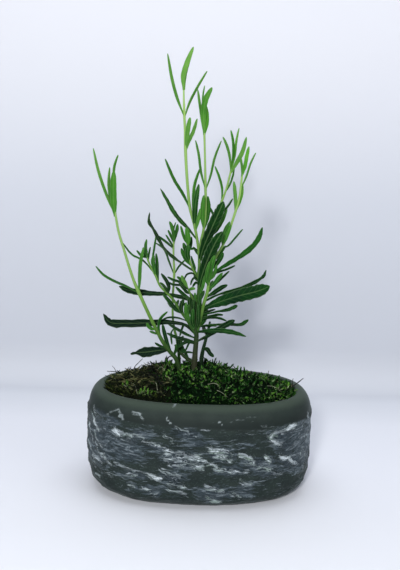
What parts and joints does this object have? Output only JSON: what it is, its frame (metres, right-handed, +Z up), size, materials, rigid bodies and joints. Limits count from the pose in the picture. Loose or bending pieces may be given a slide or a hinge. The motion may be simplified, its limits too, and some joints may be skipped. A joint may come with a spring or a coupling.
{
  "type": "potted lavender",
  "caption": "Young lavender with upright and leaning leafy shoots, growing through a mound of moss in a low oval pot that has a thick rounded rim and a rough brushed coat.",
  "frame": {"origin": "middle of the pot's flat base", "axes": "+Z up from the base, +X along the pot's long axis to the right as the picture shows it, -Y towards the viewer of the picture"},
  "size_m": [0.1621, 0.1141, 0.3096],
  "materials": {
    "pot": "matte",
    "soil": "matte",
    "moss_green": "matte",
    "moss_brown": "matte",
    "young_shoot": "satin",
    "mature_shoot": "satin",
    "dark_shoot": "satin"
  },
  "bodies": {
    "root": {"pot": "pot", "potting_soil": "soil", "moss_green": "moss_green", "moss_brown": "moss_brown", "left_leafy_stem": "young_shoot", "main_leafy_stem": "mature_shoot", "thin_leafy_stem": "mature_shoot", "right_leafy_stem": "dark_shoot"}
  },
  "joints": []
}
